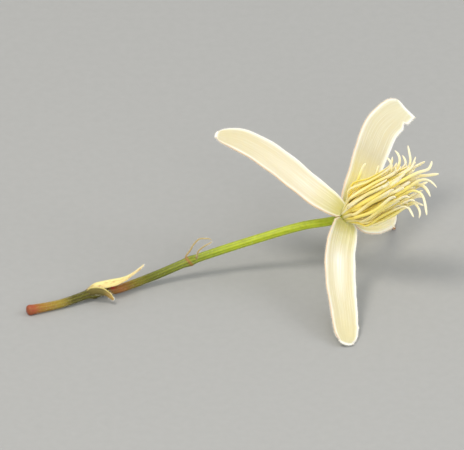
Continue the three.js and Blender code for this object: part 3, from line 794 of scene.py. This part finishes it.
bm = bmesh.new()
for layer in ("along", "ridge", "joint", "spot"):
    bm.verts.layers.float.new(layer)
addTube(
    bm, stalkLine, Vector((0, 1, 0)), stalkSection, stalkShape["sides"], stalkShape["steps"],
    layers=(("along", lambda t, angle: t), ("ridge", ridgeAt), ("joint", jointAt), ("spot", spotAt)))
seat, seatHalf = receptacle["seatRadius"], receptacle["seatHalf"]
dome, domeHeight = receptacle["domeRadius"], receptacle["domeHeight"]
addLathed(bm, receptacle["under"] + [
    (seat, -seatHalf), (seat + 0.06, 0.1), (dome, 0.3), (dome, 0.5), (0.85 * dome, 0.75),
    (0.5 * dome, 0.95 * domeHeight), (0, domeHeight)], receptacle["sides"], values=(("along", 1.0),))
bmesh.ops.recalc_face_normals(bm, faces=bm.faces)
piece = makePiece("stalk_skin", bm, stalkSkin("stalkSkin", stalkLook))
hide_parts("flower_stalk")


def tubeDown(line, sideways, radius, coat, seed):
    # hairs all round a tube, leaning towards its tip
    chance = random.Random(seed)
    hairs = []
    for _ in range(coat["count"]):
        t = chance.uniform(coat["start"], coat["end"])
        centre, along, across, out = line.at(t, sideways)
        angle = chance.uniform(0, 2 * math.pi)
        away = out * math.cos(angle) - across * math.sin(angle)
        root = centre + away * radius(t)
        way = (away + along * coat["lean"] * chance.uniform(0.2, 1.6)).normalized()
        hairs.append((root, way, coat["length"] * chance.uniform(0.5, 1.2), coat["width"]))
    return hairs


stalkDown = {
    "count": 2200, "length": 0.13, "width": 0.015, "start": 0.02, "end": 0.98, "lean": 0.6, "seed": 21}
hairs = tubeDown(stalkLine, Vector((0, 1, 0)), stalkRadius, stalkDown, stalkDown["seed"])
makePiece("stalk_down", downMesh(hairs), down, smooth=False)
print("stalk made")

# Bracts and bracteoles

# halves: half widths along the blade; highlightSide: the side with the lighter edge, a painted highlight
bractFinish = {
    "root": 0.3, "corners": (0.0, 0.0), "nicks": [], "thick": 0.2, "bead": 0.03, "relief": 0.03,
    "frill": 0.03, "veins": (-0.5, 0.0, 0.5), "wave": 0, "tip": 0.3, "highlightSide": -1,
    "columns": 24, "rows": 72}
bracts = {
    "bract_upper": {
        "line": [
            (-33.9, -9.65, 0.45), (-33.0, -8.95, 0.7), (-31.2, -8.5, 0.75), (-28.9, -8.0, 0.3),
            (-27.6, -7.3, 0.0), (-26.45, -6.35, -0.2)],
        "looks": [(-0.2, 0.9, 0.35), (-0.2, 0.9, 0.35), (-0.4, 0.8, 0.4)],
        "halves": [(0, 0.4), (0.2, 0.78), (0.42, 0.85), (0.62, 0.5), (0.73, 0.2), (0.97, 0.12), (1, 0.05)],
        "width": 1.6, "cup": -0.7},
    "bract_lower": {
        "line": [
            (-33.9, -10.3, 0.8), (-33.2, -9.95, 1.5), (-32.2, -9.9, 1.8), (-31.2, -10.25, 1.8),
            (-30.4, -11.0, 1.6)],
        "looks": [(-0.3, -0.4, 0.9), (-0.1, -0.3, 0.9), (-0.2, -0.1, 0.95)],
        "halves": [(0, 0.45), (0.25, 0.56), (0.5, 0.52), (0.8, 0.32), (0.97, 0.18), (1, 0.08)],
        "width": 1.4, "cup": -0.5},
}
scaleLooks = {
    "bract_upper": {
        **scaleLook, "brown": "#A98B55", "pale": "#F5EFA7", "tip": "#F6F0C6", "vein": "#DCCB84"},
    "bract_lower": {
        **scaleLook, "brown": "#6E602C", "pale": "#746A30", "tip": "#D0A860", "vein": "#5C5424",
        "edge": "#D8C878", "highlightFrom": 0.75, "shadeShare": 0.0, "mottle": "#4E4422"},
}
bractDown = {"marginPerMm": 16.0, "backPerMm2": 8.0, "length": 0.22, "width": 0.022, "seed": 31}

for number, (name, shape) in enumerate(bracts.items()):
    shape = {**bractFinish, **shape}
    bm, stations = bladeMesh(shape)
    tissue = dryScale("dryScale_" + name, scaleLooks[name], shape["highlightSide"])
    piece = makePiece(name + "_scale", bm, tissue)
    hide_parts(name)
    hairs = bladeDown(shape, stations, bractDown, bractDown["seed"] + number)
    makePiece(name + "_down", downMesh(hairs), down, smooth=False)

bracteoles = {
    "bracteole_long": [
        (-20.95, -5.7, -2.75), (-20.85, -5.2, -2.65), (-20.36, -4.52, -2.5), (-19.87, -3.71, -2.35),
        (-19.29, -3.1, -2.2), (-18.9, -2.93, -2.1), (-18.33, -2.93, -2.0), (-17.78, -2.96, -1.9),
        (-17.5, -3.19, -1.8)],
    "bracteole_short": [
        (-19.55, -5.6, -2.6), (-19.4, -5.05, -2.1), (-19.28, -4.64, -1.7), (-18.76, -4.15, -1.3),
        (-18.24, -3.8, -1.05), (-17.69, -3.51, -0.9), (-17.45, -3.3, -0.85)],
}
threadShape = {
    "radius": 0.14, "taper": 0.3, "flat": 0.8, "sideways": (0.4, -0.4, 0.8), "sides": 12, "steps": 40}
threadDown = {"count": 120, "length": 0.2, "width": 0.02, "start": 0.0, "end": 1.0, "lean": 0.6, "seed": 41}
threadLook = {**scaleLook, "pale": "#B8A878", "tip": "#C8BE94", "brown": "#8F6A45"}
threadTissue = dryScale("dryThread", threadLook)
threadSideways = turned(threadShape["sideways"])


def threadRadius(t):
    return threadShape["radius"] * (1 - threadShape["taper"] * t) * math.sqrt(max(0.02, 1 - t ** 12))


def threadSection(t, angle):
    return threadRadius(t), threadShape["flat"] * threadRadius(t)


for number, (name, points) in enumerate(bracteoles.items()):
    line = Line([seen(p) for p in points])
    bm = bmesh.new()
    for layer in ("along", "across"):
        bm.verts.layers.float.new(layer)
    addTube(
        bm, line, threadSideways, threadSection, threadShape["sides"], threadShape["steps"],
        layers=(("along", lambda t, angle: t), ("across", lambda t, angle: math.sin(angle))))
    bmesh.ops.recalc_face_normals(bm, faces=bm.faces)
    piece = makePiece(name + "_thread", bm, threadTissue)
    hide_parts(name)
    hairs = tubeDown(line, threadSideways, threadRadius, threadDown, threadDown["seed"] + number)
    makePiece(name + "_down", downMesh(hairs), down, smooth=False)
print("bracts and bracteoles made")

# Stamens

# arc: the bend at the tip; stray: how far a filament wanders; jitter: how unevenly the spiral is filled
stamenShape = {
    "count": 36, "length": 12.4, "width": 0.46, "thickness": 0.27, "innermost": 1.5, "outermost": 2.8,
    "arc": 1.5, "stray": 0.26, "jitter": 0.3, "turnJitter": 0.25, "lengthJitter": 0.12,
    "outerShorter": 0.16, "footAlong": 0.5, "rootOut": 1.1, "sink": 0.25,
    "antherFrom": 0.8, "antherStart": 0.03, "antherSwell": 0.15, "groove": 0.25, "longFrom": 6,
    "seed": 41, "straySeed": 5, "sides": 10, "steps": 36, "crowd": 1.5,
    "short": {
        "count": 34, "length": 10.6, "width": 0.4, "thickness": 0.24, "innermost": 0.95, "outermost": 2.5,
        "arc": 0.5, "stray": 0.3, "seed": 23},
}
# the longer filaments, whose curled tips stand clear: how far each lies towards the eye from the middle
# of the brush, and where its upper part is seen
curling = [
    (0.5, [(8.24, 1.16), (8.64, 0.64), (9.02, -0.12)]),
    (-0.6, [(8.9, 1.81), (9.69, 1.04), (9.86, 0.38), (9.74, -0.26)]),
    (1.2, [(8.9, 3.36), (10.06, 2.84), (10.44, 1.81), (10.7, 0.12)]),
    (-1.6, [(9.16, 4.15), (10.32, 3.94), (10.85, 3.36), (11.22, 2.58)]),
    (1.7, [(10.18, 4.79), (11.22, 4.52), (12.0, 3.76)]),
    (-1.9, [(9.54, 5.19), (10.85, 5.37), (12.33, 5.57)]),
    (2.0, [(9.43, 5.68), (10.85, 6.15), (11.17, 6.61), (11.34, 7.25)]),
    (-1.4, [(9.16, 6.47), (9.93, 6.87), (10.53, 7.19)]),
    (1.5, [(8.6, 6.3), (9.0, 7.1), (9.25, 7.8)]),
    (0.2, [(8.2, 6.2), (8.6, 7.25), (8.48, 8.29), (8.27, 9.31)]),
    (-1.2, [(7.9, 6.2), (7.98, 7.25), (7.6, 8.03)]),
    (-0.2, [(6.6, 5.7), (7.22, 7.3), (7.02, 8.15), (6.58, 8.67)]),
    (1.0, [(5.9, 5.6), (6.1, 6.9), (5.54, 7.77)]),
    (-0.8, [(1.13, 2.84), (2.03, 5.42), (2.44, 6.47), (2.81, 6.99)]),
    (-0.3, [(2.67, 3.5), (4.1, 5.42), (4.5, 6.73)]),
]
spiral = math.pi * (3 - math.sqrt(5))
flowerAxis, brushAxis = flowerPlace["flowerAxis"], flowerPlace["brushAxis"]


def inBrush(x, y, depth):
    # how far along the brush, how far out and at which angle a place lies that is seen at x and y
    up = (Vector((0, 1, 0)) - brushAxis * brushAxis.y).normalized()
    side = brushAxis.cross(up)
    right, high = x - side.x * depth, y - side.y * depth
    scale = brushAxis.x * up.y - brushAxis.y * up.x
    above = (brushAxis.x * high - brushAxis.y * right) / scale
    return (right * up.y - high * up.x) / scale, math.hypot(above, depth), math.atan2(depth, above)


def spiralFilaments(shape, chance):
    # filaments set in a spiral, as a plant sets them, each bending outwards at its tip
    draw = seededDraw(shape["seed"])
    inner, outer, jitter = shape["innermost"], shape["outermost"], shape["jitter"]
    filaments = []
    for i in range(shape["count"]):
        rank = (i + 0.5) / shape["count"]
        angle = i * spiral + shape["turnJitter"] * (next(draw) - 0.5)
        body = math.sqrt(inner ** 2 + rank * (outer ** 2 - inner ** 2)) + jitter * (next(draw) - 0.5)
        unevenness = shape["lengthJitter"] * (next(draw) - 0.5)
        long = shape["length"] * (1 + unevenness - shape["outerShorter"] * rank)
        bend = 0.3 + 0.7 * rank + 0.4 * next(draw)
        arc = shape["arc"] * (1 + jitter * (next(draw) - 0.5))
        twist = jitter * (next(draw) - 0.5)
        stray = [chance.uniform(-1, 1) * shape["stray"] for _ in range(4)]
        bendsAt = long - arc * math.sin(min(bend, math.pi / 2))
        foot, rootOut = shape["footAlong"], shape["rootOut"]
        points = [
            beside(flowerAxis, foot - shape["sink"], min(rootOut, body) - 0.3, angle),
            beside(flowerAxis, foot + 0.3, min(rootOut, body), angle),
            beside(brushAxis, foot + 1.5, rootOut + 0.55 * (body - rootOut), angle),
            beside(
                brushAxis, 0.33 * bendsAt, body + 0.3 * rank + stray[0],
                angle + 0.3 * twist + 0.5 * stray[1]),
            beside(brushAxis, 0.66 * bendsAt, body + 0.15 + stray[2], angle + 0.6 * twist + 0.5 * stray[3]),
        ]
        for share in (0, 0.33, 0.66, 1):
            along = bendsAt + arc * math.sin(share * bend)
            out = body + 0.15 + arc * (1 - math.cos(share * bend))
            points.append(beside(brushAxis, along, out, angle + twist))
        filaments.append((points, angle))
    return filaments


def filamentSection(shape):
    # flat, with a grooved anther near the tip
    def section(t, angle):
        anther = max(0.0, min(1.0, (t - shape["antherFrom"]) / shape["antherStart"]))
        point = math.sqrt(max(0.04, 1 - t ** 36))
        wide = shape["width"] / 2 * (0.8 + 0.2 * math.sin(math.pi * min(t, 0.8) / 1.1)) * point
        thick = shape["thickness"] / 2 * (1 + shape["antherSwell"] * anther) * point
        return thick * (1 - shape["groove"] * anther * math.cos(angle) ** 8), wide
    return section


def curlingFilaments(shape, chance):
    # the filaments of the list above, from the receptacle to where their upper parts are seen
    filaments = []
    for depth, upper in curling:
        places = [inBrush(x, y, depth) for x, y in upper]
        along, out, angle = places[0]
        foot, rootOut = shape["footAlong"], shape["rootOut"]
        points = [
            beside(flowerAxis, foot - shape["sink"], rootOut - 0.3, angle),
            beside(flowerAxis, foot + 0.3, rootOut, angle),
            beside(brushAxis, foot + 1.3, rootOut + 0.4 * (out - rootOut), angle),
        ]
        if along > shape["longFrom"]:  # the long ones get two more points on their way
            stray = [chance.uniform(-1, 1) * shape["stray"] for _ in range(3)]
            points += [
                beside(brushAxis, 0.36 * along, 0.92 * out + stray[0], angle + 0.4 * stray[1]),
                beside(brushAxis, 0.7 * along, out, angle + 0.35 * stray[2])]
        points += [beside(brushAxis, *place) for place in places]
        filaments.append((points, angle))
    return filaments


bm = bmesh.new()
for layer in ("along", "tone"):
    bm.verts.layers.float.new(layer)
chance = random.Random(stamenShape["straySeed"])
short = {**stamenShape, **stamenShape["short"]}
groups = [
    (stamenShape, spiralFilaments(stamenShape, chance)),
    (stamenShape, curlingFilaments(stamenShape, chance)),
    (short, spiralFilaments(short, chance)),
]
for shape, filaments in groups:
    for points, angle in filaments:
        tone = chance.random()
        sideways = beside(brushAxis, 0, 1, angle + math.pi / 2) - flowerPlace["heart"]
        addTube(
            bm, Line(points), sideways, filamentSection(shape), shape["sides"], shape["steps"],
            crowd=shape["crowd"],
            layers=(("along", lambda t, angle: t), ("tone", lambda t, angle: tone)))
bmesh.ops.recalc_face_normals(bm, faces=bm.faces)
piece = makePiece("stamen_brush", bm, filamentTissue("filamentTissue", filamentLook))
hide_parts("stamens")
print("stamens made")

# Pistils

styleShape = {
    "count": 9, "length": 12.7, "thickness": 0.26, "spread": 0.62,
    "sides": 8, "steps": 26, "crowd": 1.2, "seed": 17}
styleSilk = {
    "count": 130, "length": 0.4, "width": 0.02, "start": 0.08, "end": 0.55, "lean": 2.2, "core": 0.1,
    "seed": 51}
carpels = {"radius": 0.72, "foot": 1.3, "height": 1.5, "sides": 32}


def styleLine(shape, i, draw):
    # a style rises from the carpels, keeps to the brush and opens a little at its tip
    rank = (i + 0.5) / shape["count"]
    angle = i * spiral
    out = shape["spread"] * math.sqrt(rank)
    long = shape["length"] * (0.97 + 0.06 * next(draw))
    opens = 0.1 + 0.4 * rank
    foot = carpels["foot"]
    points = [
        beside(flowerAxis, foot + 0.6, 0.6 * out, angle),
        beside(brushAxis, foot + 2.4, out, angle),
        beside(brushAxis, 0.5 * long, out, angle),
        beside(brushAxis, 0.9 * long, out, angle),
        beside(brushAxis, long, out + opens, angle),
    ]
    sideways = beside(brushAxis, 0, 1, angle + math.pi / 2) - flowerPlace["heart"]
    return Line(points), sideways, rank


def styleSection(t, angle):
    radius = styleShape["thickness"] / 2 * (1.3 - 0.4 * t) * math.sqrt(max(0.05, 1 - t ** 14))
    return radius, radius


pistilLook = {
    "foot": "#D8CC78", "middle": "#F0DF98", "upper": "#F6E6AC", "tip": "#F6EAC0", "streak": "#DCC878",
    "cellsPerMm": 9.0}
bm = bmesh.new()
for layer in ("along", "tone"):
    bm.verts.layers.float.new(layer)
draw = seededDraw(styleShape["seed"])
styleHairs = []
for i in range(styleShape["count"]):
    line, sideways, rank = styleLine(styleShape, i, draw)
    addTube(
        bm, line, sideways, styleSection, styleShape["sides"], styleShape["steps"],
        crowd=styleShape["crowd"],
        layers=(("along", lambda t, angle: t), ("tone", lambda t, angle: rank)))
    styleHairs += tubeDown(line, sideways, lambda t: styleSilk["core"], styleSilk, styleSilk["seed"] + i)
radius, foot, height = carpels["radius"], carpels["foot"], carpels["height"]
addLathed(bm, [
    (0, foot - 0.3), (0.7 * radius, foot - 0.28), (radius, foot + 0.4), (0.85 * radius, foot + 0.9),
    (0.4 * radius, foot + height), (0, foot + height)], carpels["sides"])
bmesh.ops.recalc_face_normals(bm, faces=bm.faces)
piece = makePiece("pistil_styles", bm, filamentTissue("styleTissue", pistilLook))
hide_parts("pistils")
makePiece("pistil_silk", downMesh(styleHairs), down, smooth=False)
print("pistils made")

# Table, light and camera

table = bmesh.new()
bmesh.ops.create_grid(table, x_segments=2, y_segments=2, size=tableLook["halfSize"])
mesh = bpy.data.meshes.new("table")
table.to_mesh(mesh)
table.free()
tableTop = bpy.data.objects.new("table", mesh)
bpy.context.scene.collection.objects.link(tableTop)
mesh.materials.append(paleTable("paleTable", tableLook))

room = {"colour": "#F2F1EE", "strength": 0.76}
world = bpy.data.worlds.new("paleRoom")
world.use_nodes = True
background = world.node_tree.nodes["Background"]
background.inputs["Color"].default_value = linear(room["colour"])
background.inputs["Strength"].default_value = room["strength"]
bpy.context.scene.world = world

# soft lamps: places and sizes in metres
target = Vector((0.0, -0.0001, 0.0076))
lights = {
    "key": {"from": (-0.2, -0.1, 0.54), "size": 0.2, "watts": 1.4, "colour": "#FFF6E8"},
    "fill": {"from": (0.1, -0.54, 0.26), "size": 0.4, "watts": 1.0, "colour": "#FFFBF2"},
    "side": {"from": (0.46, -0.06, 0.34), "size": 0.3, "watts": 0.8, "colour": "#FFFFFF"},
}
for name, light in lights.items():
    data = bpy.data.lights.new(name, "AREA")
    data.shape = "DISK"
    data.size = light["size"]
    data.energy = light["watts"]
    data.color = linear(light["colour"])[:3]
    lamp = bpy.data.objects.new(name, data)
    lamp.location = light["from"]
    lamp.rotation_euler = (target - lamp.location).to_track_quat("-Z", "Y").to_euler()
    bpy.context.scene.collection.objects.link(lamp)

# far away with a long lens, so that there is hardly any perspective
view = {"elevation": 33.4, "away": 1.36, "lens": 800.0, "sensor": 36.0, "clipStart": 0.02}
cameraData = bpy.data.cameras.new("camera")
cameraData.lens = view["lens"]
cameraData.sensor_width = view["sensor"]
cameraData.clip_start = view["clipStart"]
camera = bpy.data.objects.new("camera", cameraData)
elevation = math.radians(view["elevation"])
camera.location = target + Vector((0, -math.cos(elevation), math.sin(elevation))) * view["away"]
camera.rotation_euler = (target - camera.location).to_track_quat("-Z", "Y").to_euler()
bpy.context.scene.collection.objects.link(camera)
bpy.context.scene.camera = camera
bpy.context.scene.view_settings.view_transform = "Standard"
print("table, light and camera made")

bpy.context.view_layer.update()
